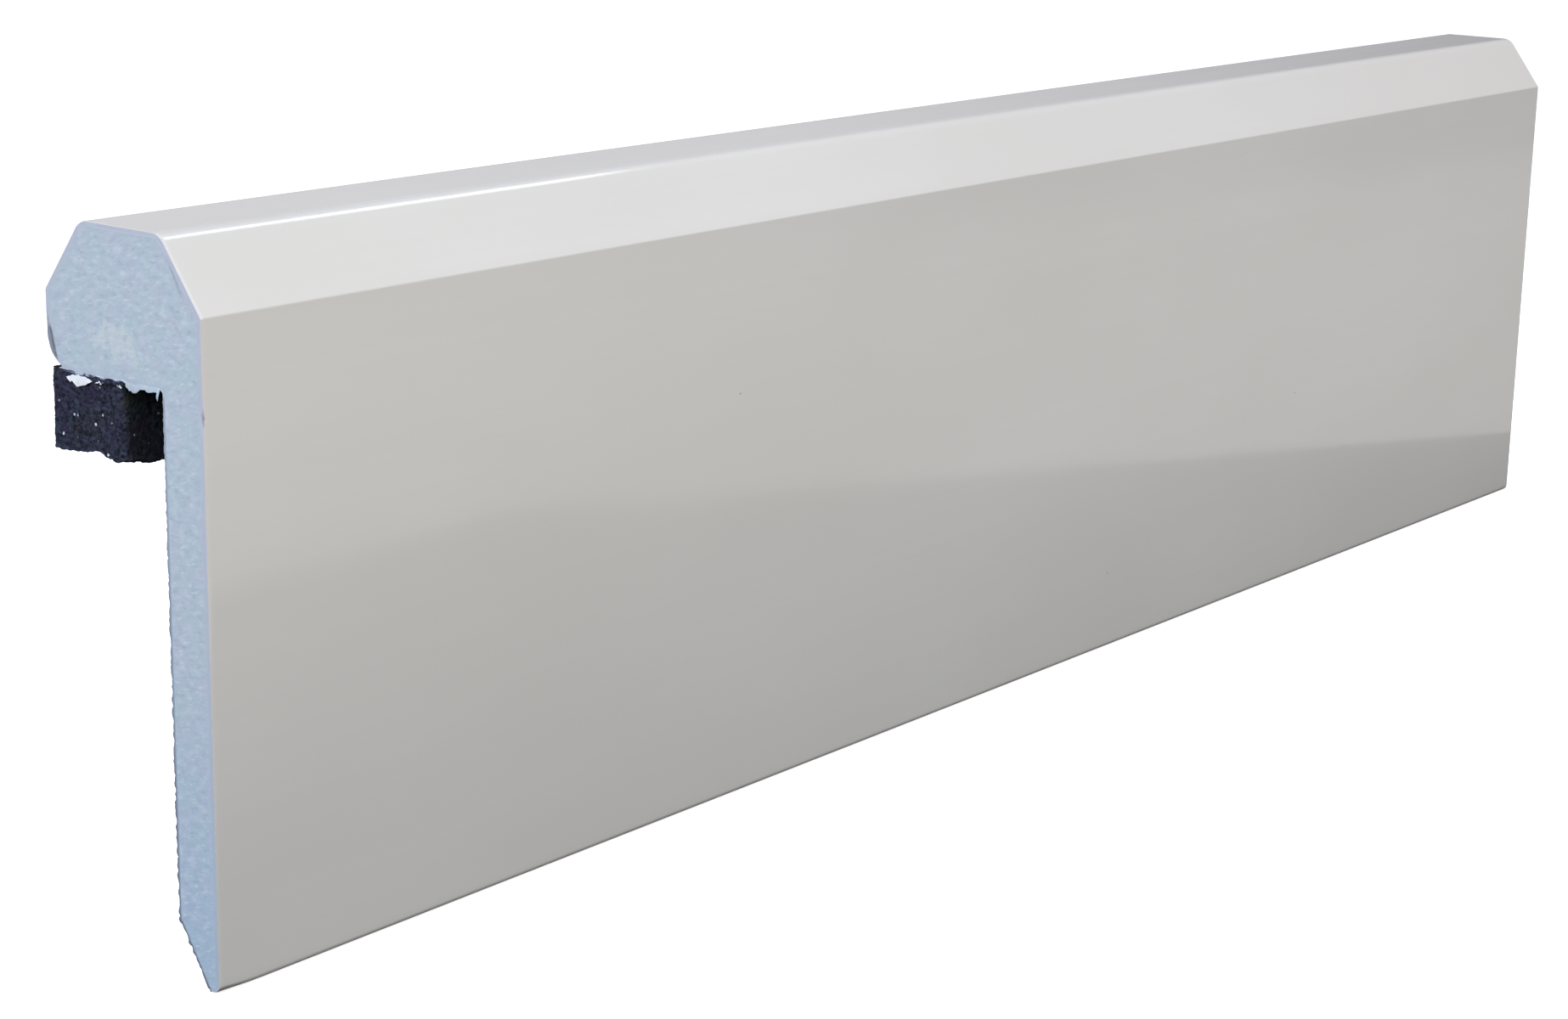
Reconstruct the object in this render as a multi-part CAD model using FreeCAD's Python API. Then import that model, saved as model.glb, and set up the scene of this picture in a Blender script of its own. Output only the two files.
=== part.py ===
import FreeCAD, Part
import math
import os

# A length of rigid edge trim: a tall flat fascia with a chamfered head along its top. The head
# reaches back over the edge that the fascia hangs on, and carries a foam seal on its underside.
# The section lies in the YZ plane and runs along X. Millimetres throughout.
# Origin: middle of the fascia's flat back face. +Y points back, over the covered edge; +Z is up.

# Whole section
LENGTH = 415.0              # sawn length of this piece
HEIGHT = 110.0              # bottom edge to flat top
FASCIA_THICKNESS = 8.5
HEAD_OVERHANG = 25.0        # reach of the head behind the fascia
HEAD_DEPTH = 22.0           # flat top to underside
CHAMFER_WIDTH = 8.2         # both long top edges of the head
CHAMFER_HEIGHT = 10.8
DRIP_RUN = 6.2              # bevel on the back of the bottom edge
DRIP_RISE = 9.8

# Corner radii of the section
TOP_RADIUS = 3.0
CREASE_RADIUS = 0.6         # foot of the front chamfer
SHOULDER_RADIUS = 1.0       # foot of the rear chamfer
HEAD_BACK_RADIUS = 5.0      # lower back corner of the head
INNER_RADIUS = 0.5          # where the underside meets the fascia
DRIP_TOP_RADIUS = 1.0
DRIP_TIP_RADIUS = 0.4
BOTTOM_RADIUS = 1.0

# Skins around the cellular core
CAP_THICKNESS = 0.7         # coloured cap on every face that shows
REAR_THICKNESS = 0.5        # plain skin on the hidden faces
CAP_FOOT_WIDTH = 1.9        # how far the cap wraps under the bottom edge
CAP_TAIL_GAP = 0.5          # the cap stops this far above the head's round lower back corner

# Foam seal and the tape that holds it under the head
TAPE_THICKNESS = 0.4
SEAL_WIDTH = 15.5
SEAL_THICKNESS = 11.2
SEAL_SETBACK = 1.2          # from the head's back to the seal
SEAL_EDGE_RADIUS = 0.8      # long bottom edges of the seal

# Worked out from the dimensions above
FRONT = -FASCIA_THICKNESS
HEAD_BACK = HEAD_OVERHANG
UNDERSIDE_HEIGHT = HEIGHT - HEAD_DEPTH
BOTTOM = -(DRIP_RISE + UNDERSIDE_HEIGHT) / 2
TOP = BOTTOM + HEIGHT
UNDERSIDE = TOP - HEAD_DEPTH
CREASE = TOP - CHAMFER_HEIGHT
MARGIN = 10.0               # how far a cutting zone runs past the section


def section_point(y, z):
    """A point of the section, at the near end of the length."""
    return FreeCAD.Vector(-LENGTH / 2, y, z)


def corner_arc(before, corner, after, radius):
    """The arc that rounds one corner, from its start on the way in to its end on the way out."""
    to_before = (before - corner).normalize()
    to_after = (after - corner).normalize()
    half_angle = to_before.getAngle(to_after) / 2
    setback = radius / math.tan(half_angle)
    inward = (to_before + to_after).normalize()
    middle = corner + inward * (radius / math.sin(half_angle) - radius)
    return Part.Arc(corner + to_before * setback, middle, corner + to_after * setback).toShape()


def outline(corners):
    """A face bounded by straight runs between corners, each (y, z, radius); radius 0 stays sharp."""
    points = [section_point(y, z) for y, z, _ in corners]
    following = points[1:] + points[:1]
    arcs = []
    for i, (_, _, radius) in enumerate(corners):
        arcs.append(corner_arc(points[i - 1], points[i], following[i], radius) if radius else None)
    starts = [arc.firstVertex(True).Point if arc else point for arc, point in zip(arcs, points)]
    ends = [arc.lastVertex(True).Point if arc else point for arc, point in zip(arcs, points)]
    edges = []
    for arc, end, next_start in zip(arcs, ends, starts[1:] + starts[:1]):
        if arc:
            edges.append(arc)
        edges.append(Part.makeLine(end, next_start))
    return Part.Face(Part.Wire(edges))


def trim_section():
    """The whole rigid section, core and skins together."""
    return outline([
        (FRONT, BOTTOM, BOTTOM_RADIUS),
        (-DRIP_RUN, BOTTOM, DRIP_TIP_RADIUS),
        (0, BOTTOM + DRIP_RISE, DRIP_TOP_RADIUS),
        (0, UNDERSIDE, INNER_RADIUS),
        (HEAD_BACK, UNDERSIDE, HEAD_BACK_RADIUS),
        (HEAD_BACK, CREASE, SHOULDER_RADIUS),
        (HEAD_BACK - CHAMFER_WIDTH, TOP, TOP_RADIUS),
        (FRONT + CHAMFER_WIDTH, TOP, TOP_RADIUS),
        (FRONT, CREASE, CREASE_RADIUS),
    ])


def rim(section, thickness):
    """The band of the section within one thickness of its outline."""
    return section.cut(section.makeOffset2D(-thickness))


def cap_zone():
    """Where the skin is the coloured cap: the front of the fascia and the upper part of the head."""
    foot_end = FRONT + CAP_FOOT_WIDTH
    tail_end = UNDERSIDE + HEAD_BACK_RADIUS + CAP_TAIL_GAP
    return outline([
        (FRONT - MARGIN, BOTTOM - MARGIN, 0),
        (foot_end, BOTTOM - MARGIN, 0),
        (foot_end, tail_end, 0),
        (HEAD_BACK + MARGIN, tail_end, 0),
        (HEAD_BACK + MARGIN, TOP + MARGIN, 0),
        (FRONT - MARGIN, TOP + MARGIN, 0),
    ])


def along_length(section):
    """One closed solid, the section drawn out along the whole length."""
    return section.Faces[0].extrude(FreeCAD.Vector(LENGTH, 0, 0))


def rigid_parts():
    """Core, cap and rear skin, which fill the section between them."""
    section = trim_section()
    cap = rim(section, CAP_THICKNESS).common(cap_zone())
    rear = rim(section, REAR_THICKNESS).cut(cap_zone())
    core = section.cut(cap).cut(rear)
    return {
        "cellular_core": along_length(core),
        "face_cap": along_length(cap),
        "rear_skin": along_length(rear),
    }


def strip_section(front, back, low, high, edge_radius):
    """A flat strip's section, with its two bottom edges rounded."""
    return outline([
        (front, low, edge_radius),
        (back, low, edge_radius),
        (back, high, 0),
        (front, high, 0),
    ])


def seal_parts():
    """The tape under the head and the foam strip under the tape."""
    back = HEAD_BACK - SEAL_SETBACK
    front = back - SEAL_WIDTH
    tape_bottom = UNDERSIDE - TAPE_THICKNESS
    seal_bottom = tape_bottom - SEAL_THICKNESS
    tape = strip_section(front, back, tape_bottom, UNDERSIDE, 0)
    seal = strip_section(front, back, seal_bottom, tape_bottom, SEAL_EDGE_RADIUS)
    return {
        "seal_tape": along_length(tape),
        "seal_strip": along_length(seal),
    }


os.makedirs("parts", exist_ok=True)
for node, shape in {**rigid_parts(), **seal_parts()}.items():
    shape.exportStep(f"parts/{node}.step")
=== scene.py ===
import math

import bmesh
import bpy
import numpy as np
from mathutils import Matrix, Vector, noise
from mathutils.geometry import delaunay_2d_cdt


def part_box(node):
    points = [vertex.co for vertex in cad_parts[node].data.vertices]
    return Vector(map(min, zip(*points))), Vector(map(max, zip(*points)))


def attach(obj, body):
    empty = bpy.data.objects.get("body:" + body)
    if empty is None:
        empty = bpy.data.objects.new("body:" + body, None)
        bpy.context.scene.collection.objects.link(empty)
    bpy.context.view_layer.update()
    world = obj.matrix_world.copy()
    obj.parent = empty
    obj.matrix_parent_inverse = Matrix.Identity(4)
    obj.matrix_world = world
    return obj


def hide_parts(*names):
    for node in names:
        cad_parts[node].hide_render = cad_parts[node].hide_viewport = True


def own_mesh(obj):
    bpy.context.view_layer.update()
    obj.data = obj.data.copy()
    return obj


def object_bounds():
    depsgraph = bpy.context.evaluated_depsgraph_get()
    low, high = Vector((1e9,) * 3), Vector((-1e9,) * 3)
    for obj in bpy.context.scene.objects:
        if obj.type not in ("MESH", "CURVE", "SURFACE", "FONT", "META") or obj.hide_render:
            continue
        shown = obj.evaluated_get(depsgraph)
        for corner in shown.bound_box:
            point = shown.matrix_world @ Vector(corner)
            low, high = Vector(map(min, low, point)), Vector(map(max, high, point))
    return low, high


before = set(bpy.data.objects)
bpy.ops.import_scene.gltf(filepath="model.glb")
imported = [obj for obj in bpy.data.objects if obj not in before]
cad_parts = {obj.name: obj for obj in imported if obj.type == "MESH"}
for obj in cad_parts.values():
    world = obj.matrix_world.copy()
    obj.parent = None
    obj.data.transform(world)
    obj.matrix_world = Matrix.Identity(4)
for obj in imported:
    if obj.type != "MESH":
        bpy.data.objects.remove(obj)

# A length of sealed edge trim. Every length here is in metres, in the CAD frame: X runs along the
# trim, Y points back over the covered edge and Z is up. The section is drawn in (y, z) pairs.
MM = 0.001

CAD_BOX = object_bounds()
TRIM_LOW, TRIM_HIGH = CAD_BOX
REAR_LOW, REAR_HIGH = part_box("rear_skin")
TAPE_LOW, TAPE_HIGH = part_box("seal_tape")
FOAM_LOW, FOAM_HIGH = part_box("seal_strip")

# The section, where the boxes above don't give it
CHAMFER_WIDTH = 8.2 * MM
CHAMFER_HEIGHT = 10.8 * MM
DRIP_RUN = 6.2 * MM
DRIP_RISE = 9.8 * MM
HEAD_BACK_RADIUS = 5.0 * MM
RIDGE_RADIUS = 3.0 * MM
CAP_THICKNESS = 0.7 * MM
REAR_THICKNESS = 0.5 * MM
LEAST_RADIUS = 0.05 * MM
ARC_PARTS = 10
TINY = 1e-15  # far below any length here; keeps divisions from failing

NEAR, FAR = TRIM_LOW.x, TRIM_HIGH.x
FRONT, HEAD_BACK = TRIM_LOW.y, TRIM_HIGH.y
BOTTOM, TOP = TRIM_LOW.z, TRIM_HIGH.z
UNDERSIDE = TAPE_HIGH.z
CREASE = TOP - CHAMFER_HEIGHT
TAIL = REAR_HIGH.z  # where cap and rear skin meet on the head's back
FOOT = REAR_LOW.y  # where they meet under the fascia


# ---------- outlines

def unit(vectors):
    """The same direction, or directions, with a length of 1."""
    return vectors / np.linalg.norm(vectors, axis=-1, keepdims=True)


def arc_points(before, corner, after, radius):
    """Points along the arc that rounds one corner."""
    to_before = unit(before - corner)
    to_after = unit(after - corner)
    half_angle = math.acos(np.clip(to_before @ to_after, -1, 1)) / 2
    setback = radius / math.tan(half_angle)
    centre = corner + unit(to_before + to_after) * radius / math.sin(half_angle)
    first = corner + to_before * setback - centre
    last = corner + to_after * setback - centre
    start = math.atan2(first[1], first[0])
    turn = math.atan2(first[0] * last[1] - first[1] * last[0], first @ last)
    angles = start + turn * np.linspace(0, 1, ARC_PARTS + 1)
    return [centre + radius * np.array([math.cos(a), math.sin(a)]) for a in angles]


def line_counts(corners, step):
    """How many parts each straight stretch is cut into."""
    spans = np.linalg.norm(np.diff(corners, axis=0), axis=1)
    return [max(1, math.ceil(span / step)) for span in spans]


def rounded_run(corners, radii, counts):
    """Points along an open run of straight stretches, joined by arcs at its inner corners."""
    points = [corners[0]]
    for i in range(1, len(corners)):
        rounded = i < len(corners) - 1 and radii[i] > 0
        arc = [corners[i]]
        if rounded:
            arc = arc_points(corners[i - 1], corners[i], corners[i + 1], radii[i])
        start = points[-1]
        count = counts[i - 1]
        points += [start + (arc[0] - start) * k / count for k in range(1, count + 1)]
        points += arc[1:]
    return np.array(points)


def inset_run(corners, radii, depth):
    """The same run moved depth to its left, which is into the section."""
    along = unit(np.diff(corners, axis=0))
    left = np.stack([-along[:, 1], along[:, 0]], axis=1)
    moved = [corners[0] + left[0] * depth]
    new_radii = [0.0]
    for i in range(1, len(corners) - 1):
        before, after = left[i - 1], left[i]
        moved.append(corners[i] + (before + after) * depth / (1 + before @ after))
        convex = along[i - 1][0] * along[i][1] - along[i - 1][1] * along[i][0] > 0
        radius = radii[i] - depth if convex else radii[i] + depth
        new_radii.append(max(radius, LEAST_RADIUS))
    moved.append(corners[-1] + left[-1] * depth)
    new_radii.append(0.0)
    return np.array(moved), new_radii


def cap_run():
    """Corners and radii of the cap's outer face, from the head's back over the top to the foot."""
    corners = np.array([
        (HEAD_BACK, TAIL), (HEAD_BACK, CREASE), (HEAD_BACK - CHAMFER_WIDTH, TOP),
        (FRONT + CHAMFER_WIDTH, TOP), (FRONT, CREASE), (FRONT, BOTTOM), (FOOT, BOTTOM),
    ])
    return corners, [0, 1.0 * MM, RIDGE_RADIUS, RIDGE_RADIUS, 0.6 * MM, 1.0 * MM, 0]


def rear_run():
    """Corners and radii of the rear skin's outer face, from the foot up the back to the head."""
    corners = np.array([
        (FOOT, BOTTOM), (-DRIP_RUN, BOTTOM), (0.0, BOTTOM + DRIP_RISE),
        (0.0, UNDERSIDE), (HEAD_BACK, UNDERSIDE), (HEAD_BACK, TAIL),
    ])
    return corners, [0, 0.4 * MM, 1.0 * MM, 0.5 * MM, HEAD_BACK_RADIUS, 0]


def band(run, thickness, step):
    """Matching outer and inner points of a skin."""
    corners, radii = run
    counts = line_counts(corners, step)
    outer = rounded_run(corners, radii, counts)
    inner = rounded_run(*inset_run(corners, radii, thickness), counts)
    return outer, inner


def outward_normals(points):
    """Unit normals that point out of the section, for a run that keeps the section on its left."""
    slope = np.gradient(points, axis=0)
    return unit(np.stack([slope[:, 1], -slope[:, 0]], axis=1))


def stations(low, high, fine, coarse, reach):
    """X positions along a piece: close together near both ends, wider apart in the middle."""
    middle = (low + high) / 2
    steps = [0.0]
    while low + steps[-1] < middle:
        share = min(1.0, steps[-1] / reach)
        steps.append(steps[-1] + fine + (coarse - fine) * share * share * (3 - 2 * share))
    scale = (middle - low) / steps[-1]
    near = [low + s * scale for s in steps]
    far = [high - s * scale for s in reversed(steps[:-1])]
    return np.array(near + far)


# ---------- random relief

def fractal(points, size, seed, octaves=3):
    """Smooth noise, about -1 to 1, with features about size across, at each (x, y, z) point."""
    shift = Vector((seed * 17.3, seed * 5.1, seed * 9.7))
    scale = 1 / size
    return np.array([
        noise.fractal(Vector(p) * scale + shift, 1.0, 2.0, octaves) for p in points
    ])


def stretched(points, sizes, seed, octaves=2):
    """Noise with a different feature size along each axis."""
    return fractal(points / np.array(sizes), 1.0, seed, octaves)


def cell_walls(points, size, seed):
    """0 on the walls between cells about size across, rising to 1 well inside a cell."""
    shift = Vector((seed * 3.7, seed * 11.9, seed * 7.3))
    rise = 1.6
    depths = []
    for p in points:
        near = noise.voronoi(Vector(p) / size + shift)[0]
        depths.append(min(1.0, (near[1] - near[0]) * rise))
    return np.array(depths)


# ---------- mesh building

def new_object(name, data):
    made = bpy.data.objects.new(name, data)
    bpy.context.scene.collection.objects.link(made)
    return made


def new_piece(name, verts, faces, material, node, crisp, marks=None):
    """One finished mesh piece that rides on the trim and stands for a CAD node.
    Edges sharper than crisp, in degrees, stay crisp. Marks are numbers stored on the vertices
    for the material: a name and one number for each vertex."""
    mesh = bpy.data.meshes.new(name)
    mesh.from_pydata([tuple(v) for v in verts], [], faces)
    clean = bmesh.new()
    clean.from_mesh(mesh)
    bmesh.ops.recalc_face_normals(clean, faces=clean.faces)
    clean.to_mesh(mesh)
    clean.free()
    for mark, values in (marks or {}).items():
        stored = mesh.attributes.new(mark, "FLOAT", "POINT")
        stored.data.foreach_set("value", np.asarray(values, dtype=np.float32).ravel())
    mesh.polygons.foreach_set("use_smooth", [True] * len(mesh.polygons))
    mesh.set_sharp_from_angle(angle=math.radians(crisp))
    mesh.materials.append(material)
    piece = new_object(name, mesh)
    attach(piece, "trim")
    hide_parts(node)
    return piece


def ring_faces(rings, size):
    """Quads that join each ring of a sweep to the next."""
    faces = []
    for k in range(rings - 1):
        here = k * size
        there = here + size
        for i in range(size):
            j = (i + 1) % size
            faces.append((here + i, here + j, there + j, there + i))
    return faces


def swept_band(outer, inner, xs):
    """Vertices (stations, loop, 3) and faces of a skin swept along X."""
    loop = np.concatenate([outer, inner[::-1]])
    size = len(loop)
    verts = np.empty((len(xs), size, 3))
    verts[:, :, 0] = xs[:, None]
    verts[:, :, 1:] = loop[None, :, :]
    faces = ring_faces(len(xs), size)
    last = (len(xs) - 1) * size
    for i in range(len(outer) - 1):
        quad = (i, i + 1, size - 2 - i, size - 1 - i)
        faces.append(quad)
        faces.append(tuple(last + v for v in quad))
    return verts, faces


def distance_to_run(points, run):
    """Shortest distance from each (y, z) point to an open run of points."""
    nearest = np.full(len(points), np.inf)
    for a, b in zip(run[:-1], run[1:]):
        side = b - a
        share = np.clip((points - a) @ side / (side @ side + TINY), 0, 1)
        gap = np.linalg.norm(points - a - share[:, None] * side, axis=1)
        nearest = np.minimum(nearest, gap)
    return nearest


def inside_loop(points, loop):
    """Whether each (y, z) point is inside a closed loop, by counting crossings."""
    inside = np.zeros(len(points), bool)
    for a, b in zip(loop, np.roll(loop, -1, axis=0)):
        crosses = (a[1] > points[:, 1]) != (b[1] > points[:, 1])
        if crosses.any():
            at = a[0] + (points[:, 1] - a[1]) / (b[1] - a[1] + TINY) * (b[0] - a[0])
            inside ^= crosses & (points[:, 0] < at)
    return inside


def fill_points(loop, step, clearance, seed):
    """Jittered grid points inside a closed loop, no nearer than clearance to its edge."""
    jitter = 0.3 * step
    rng = np.random.default_rng(seed)
    low, high = loop.min(0), loop.max(0)
    grid = np.stack(np.meshgrid(
        np.arange(low[0], high[0], step),
        np.arange(low[1], high[1], step),
        indexing="ij",
    ), axis=-1).reshape(-1, 2)
    grid = grid + rng.uniform(-1, 1, grid.shape) * jitter
    grid = grid[inside_loop(grid, loop)]
    closed = np.concatenate([loop, loop[:1]])
    return grid[distance_to_run(grid, closed) > clearance]


def end_triangles(loop, inner):
    """Triangles over a closed loop and the points inside it, as places in the two together."""
    points = [Vector(p) for p in np.concatenate([loop, inner])]
    found = delaunay_2d_cdt(points, [], [list(range(len(loop)))], 1, 1e-7)
    triangles, origins = found[2], found[3]
    return [tuple(origins[v][0] for v in t) for t in triangles]


def filled_sweep(loop, xs, fill_step, seed):
    """A closed solid: the loop swept along xs, with a fine triangulation over each end.
    Returns vertices, faces, and each vertex's outward direction."""
    size = len(loop)
    rings = np.empty((len(xs), size, 3))
    rings[:, :, 0] = xs[:, None]
    rings[:, :, 1:] = loop[None, :, :]
    slope = np.roll(loop, -1, axis=0) - np.roll(loop, 1, axis=0)
    side = unit(np.stack([np.zeros(size), slope[:, 1], -slope[:, 0]], axis=1))
    outward = np.repeat(side[None], len(xs), axis=0)
    outward[0, :, 0] = -1
    outward[-1, :, 0] = 1
    faces = ring_faces(len(xs), size)
    verts = [rings.reshape(-1, 3)]
    normals = [outward.reshape(-1, 3)]
    total = len(xs) * size
    for ring, x, way, salt in ((0, xs[0], -1, 0), (len(xs) - 1, xs[-1], 1, 1)):
        inner = fill_points(loop, fill_step, fill_step * 0.55, seed + salt)
        first_on_ring = ring * size
        first_inside = total - size
        for t in end_triangles(loop, inner):
            faces.append(tuple(v + (first_on_ring if v < size else first_inside) for v in t))
        verts.append(np.column_stack([np.full(len(inner), x), inner]))
        normals.append(np.tile([way, 0.0, 0.0], (len(inner), 1)))
        total += len(inner)
    return np.concatenate(verts), faces, unit(np.concatenate(normals))


# ---------- wear and painted shade at the near end

EASED_CORNER_START = UNDERSIDE + 0.2 * MM  # painted shade along the head's eased lower back corner
EASED_CORNER_WIDTH = 1.3 * MM
EASED_CORNER_HEIGHT = 7.8 * MM
EASED_CORNER_DEPTH = 0.1 * MM
WEAR_FADE = 3.0 * MM  # how far along the trim the eased, shaded corner and the nick reach
NICK = Vector((NEAR, FRONT + 0.1 * MM, CREASE - 14.0 * MM))  # a dent in the cap's front edge
NICK_SIZE = Vector((0.35 * MM, 0.45 * MM, 1.5 * MM))
NICK_DEPTH = 0.2 * MM
FOOT_WEAR = 0.5 * MM  # the front bottom corner is raised this far
FOOT_SIZE = Vector((4.0 * MM, 0.9 * MM, 1.5 * MM))
FLAP_THICKNESS = 0.08 * MM
FLAP_COLUMN = 0.14 * MM  # the width of one column of its mesh,
FLAP_ROWS = 5
FLAP_TOOTH = 0.35 * MM  # of the teeth in its lower edge,
FLAP_WAVE = 1.1 * MM  # and of the waves in its face


def bell(distance, width):
    """1 at no distance, falling smoothly away over about the width."""
    return np.exp(-(distance / width) ** 2)


def head_corner_inset(y, z):
    """How far (y, z) is inside the head's back face and its rounded lower corner."""
    across = y - (HEAD_BACK - HEAD_BACK_RADIUS)
    down = np.clip(UNDERSIDE + HEAD_BACK_RADIUS - z, 0, None)
    return HEAD_BACK_RADIUS - np.hypot(np.clip(across, 0, None), down)


def shaded_corner(y, z):
    """0 to 1: the head's eased lower back corner, where shade is painted, darkest along its inner
    edge.
    """
    share = np.clip((z - EASED_CORNER_START) / EASED_CORNER_HEIGHT, 0, 1)
    width = EASED_CORNER_WIDTH * np.sin(np.pi * share) ** 1.5 + TINY
    across = head_corner_inset(y, z) / width
    inner = np.clip((across - 0.45) / 0.4, 0, 1)
    edge = np.clip((1.15 - across) / 0.3, 0, 1)
    fade = np.clip(width / (0.5 * MM), 0, 1)
    return (0.55 + 0.45 * inner) * edge * fade


def near_end_fade(x):
    return np.clip(1 - (x - NEAR) / WEAR_FADE, 0, 1)


def wear_near_end(points):
    """Moves the end's points back along X where its lower back corner is eased or it is dented, and
    raises its foot.
    """
    x, y, z = points[..., 0], points[..., 1], points[..., 2]
    nick = bell(y - NICK.y, NICK_SIZE.y) * bell(z - NICK.z, NICK_SIZE.z)
    foot = bell(y - FRONT, FOOT_SIZE.y) * bell(z - BOTTOM, FOOT_SIZE.z)
    foot = foot * bell(x - NEAR, FOOT_SIZE.x)
    worn = EASED_CORNER_DEPTH * shaded_corner(y, z) + NICK_DEPTH * nick
    points[..., 0] = x + worn * near_end_fade(x)
    points[..., 2] = z + FOOT_WEAR * foot


def flap_faces(columns):
    """Faces of a flap: two layers of quads, and the rim that joins them."""
    size = columns * FLAP_ROWS
    last_row = size - columns
    faces = []
    for row in range(0, last_row, columns):
        for a in range(row, row + columns - 1):
            quad = (a, a + 1, a + columns + 1, a + columns)
            faces.append(quad)
            faces.append(tuple(size + v for v in reversed(quad)))
    rim = list(range(columns))
    rim += range(2 * columns - 1, size, columns)
    rim += range(size - 2, last_row - 1, -1)
    rim += range(last_row - columns, 0, -columns)
    for a, b in zip(rim, rim[1:] + rim[:1]):
        faces.append((a, size + a, size + b, b))
    return faces


def torn_flap(y_from, y_to, top, arch, drops, root, out, seed):
    """Vertices and faces of a thin torn tongue that hangs over the near end.
    Its upper edge is arched, top at the middle. Drops are its lengths, evenly spaced from
    y_from to y_to. It starts root in front of the end and its tip is out in front of it."""
    columns = max(6, math.ceil(abs(y_to - y_from) / FLAP_COLUMN))
    places = np.linspace(0, 1, columns)
    ys = y_from + (y_to - y_from) * places
    lengths = np.interp(places, np.linspace(0, 1, len(drops)), drops)
    teeth = fractal(np.column_stack([ys, ys * 0, ys * 0]), FLAP_TOOTH, seed)
    lengths = lengths * (1 + 0.12 * teeth)
    tops = top - arch * ((2 * places - 1) ** 2 + 0.25 * np.roll(teeth, 3))
    verts = []
    for behind in (0, FLAP_THICKNESS):
        for row in np.linspace(0, 1, FLAP_ROWS):
            z = tops - lengths * row
            wave = fractal(np.column_stack([ys, z, z * 0]), FLAP_WAVE, seed + 1)
            x = NEAR - root - (out - root) * row ** 0.7 * (1 + 0.3 * wave) + behind
            verts.append(np.column_stack([x, ys, z]))
    return np.concatenate(verts), flap_faces(columns)


def join(parts):
    """One list of vertices and faces out of several, and which part each vertex came from."""
    verts, faces, source = [], [], []
    for number, (part_verts, part_faces) in enumerate(parts):
        first = sum(len(v) for v in verts)
        verts.append(part_verts)
        faces += [tuple(first + v for v in face) for face in part_faces]
        source += [number] * len(part_verts)
    return np.concatenate(verts), faces, np.array(source)


# ---------- pieces

DETAIL = 1.0
TEAR_STEP = 0.42 * MM * DETAIL  # fine enough for the torn edge of the rear skin
CAP_SWELL = 0.012 * MM  # how far the cap's faces stray from flat
CAP_ARRIS = 0.07 * MM  # the fine bevel that the saw leaves on its outer edge
CAP_CHATTER = 0.03 * MM  # the saw's marks on its ends
FRINGE_DROPS = np.array([0.5, 1.0, 1.5, 1.8, 1.6, 1.1, 1.0, 1.3, 1.1, 1.0, 0.9]) * MM
STRAND_DROPS = np.array([0.9, 1.4, 1.7, 1.2]) * MM


def make_cap(material):
    outer, inner = band(cap_run(), CAP_THICKNESS, 1.3 * MM * DETAIL)
    xs = stations(NEAR, FAR, 0.3 * MM, 3.2 * MM, 20 * MM)
    verts, faces = swept_band(outer, inner, xs)
    normals = outward_normals(outer)
    normals = np.concatenate([normals, normals[::-1]])
    flat = verts.reshape(-1, 3)
    swell = stretched(flat, (70 * MM, 18 * MM, 18 * MM), 1).reshape(verts.shape[:2])
    verts[:, :, 1:] += (CAP_SWELL * swell)[:, :, None] * normals[None]
    for ring, way in ((0, 1), (-1, -1)):
        verts[ring, :len(outer), 1:] -= normals[:len(outer)] * CAP_ARRIS
        chatter = stretched(verts[ring], (1.0, 1.5 * MM, 0.9 * MM), 4 + ring)
        verts[ring, :, 0] += way * CAP_CHATTER * (1 + chatter)
    # painted shade on the head's eased lower back corner, on the end's first two rings
    dark = shaded_corner(verts[..., 1], verts[..., 2])
    dark[2:] = 0
    rim = np.zeros(verts.shape[:2])
    rim[:, :len(outer)] = 1
    wear_near_end(verts)
    new_piece("glossy_cap", verts.reshape(-1, 3), faces, material,
              "face_cap", 32, {"dark": dark, "rim": rim})


def share_down(outer):
    """0 at the underside and above, rising to 1 at the bottom of the fascia."""
    return np.clip((UNDERSIDE - outer[:, 1]) / (UNDERSIDE - BOTTOM), 0, 1)


def tear_rear_edge(verts, outer):
    """Torn teeth where the saw came out through the back, longest near the bottom."""
    count = len(outer)
    normals = outward_normals(outer)
    lower = share_down(outer)
    reach = (0.10 + 0.20 * lower) * MM
    for ring, way in ((0, 1), (1, 1), (-1, -1), (-2, -1)):
        share = 1.0 if ring in (0, -1) else 0.45
        teeth = stretched(verts[ring, :count], (1.0, 0.85 * MM, 0.7 * MM), 21 + way, 3)
        burr = share * reach * np.clip(teeth * 1.6 + 0.1, -0.6, 1.2)
        verts[ring, :count, 1:] += burr[:, None] * normals
        verts[ring, :, 0] += way * 0.04 * MM


def rear_skin_dark(verts, outer):
    """How dark each rear skin vertex is: painted shade on the head's eased lower back corner, and a
    painted shade line along the torn edge.
    """
    dark = shaded_corner(verts[..., 1], verts[..., 2])
    count = len(outer)
    # painted shade along the torn edge, which curls back away from the light, stronger towards the
    # bottom
    line = np.where(outer[:, 1] < UNDERSIDE - 1.0 * MM, 0.45 + 0.75 * share_down(outer), 0.0)
    for ring in (0, 1):
        dark[ring, :count] = np.maximum(dark[ring, :count], line)
        dark[ring, count:] = np.maximum(dark[ring, count:], 0.15 * line[::-1])
    dark[2:] = 0
    return dark


def underside_fringe():
    """Skin torn off the underside by the saw, between the foam and the fascia."""
    fringe = torn_flap(y_from=8.6 * MM, y_to=0.5 * MM, top=UNDERSIDE + 0.5 * MM, arch=0.0,
                       drops=FRINGE_DROPS, root=-0.15 * MM, out=0.1 * MM, seed=51)
    strand = torn_flap(y_from=0.85 * MM, y_to=0.45 * MM, top=UNDERSIDE + 0.1 * MM, arch=0.0,
                       drops=STRAND_DROPS, root=0.0, out=0.35 * MM, seed=57)
    return [fringe, strand]


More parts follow.
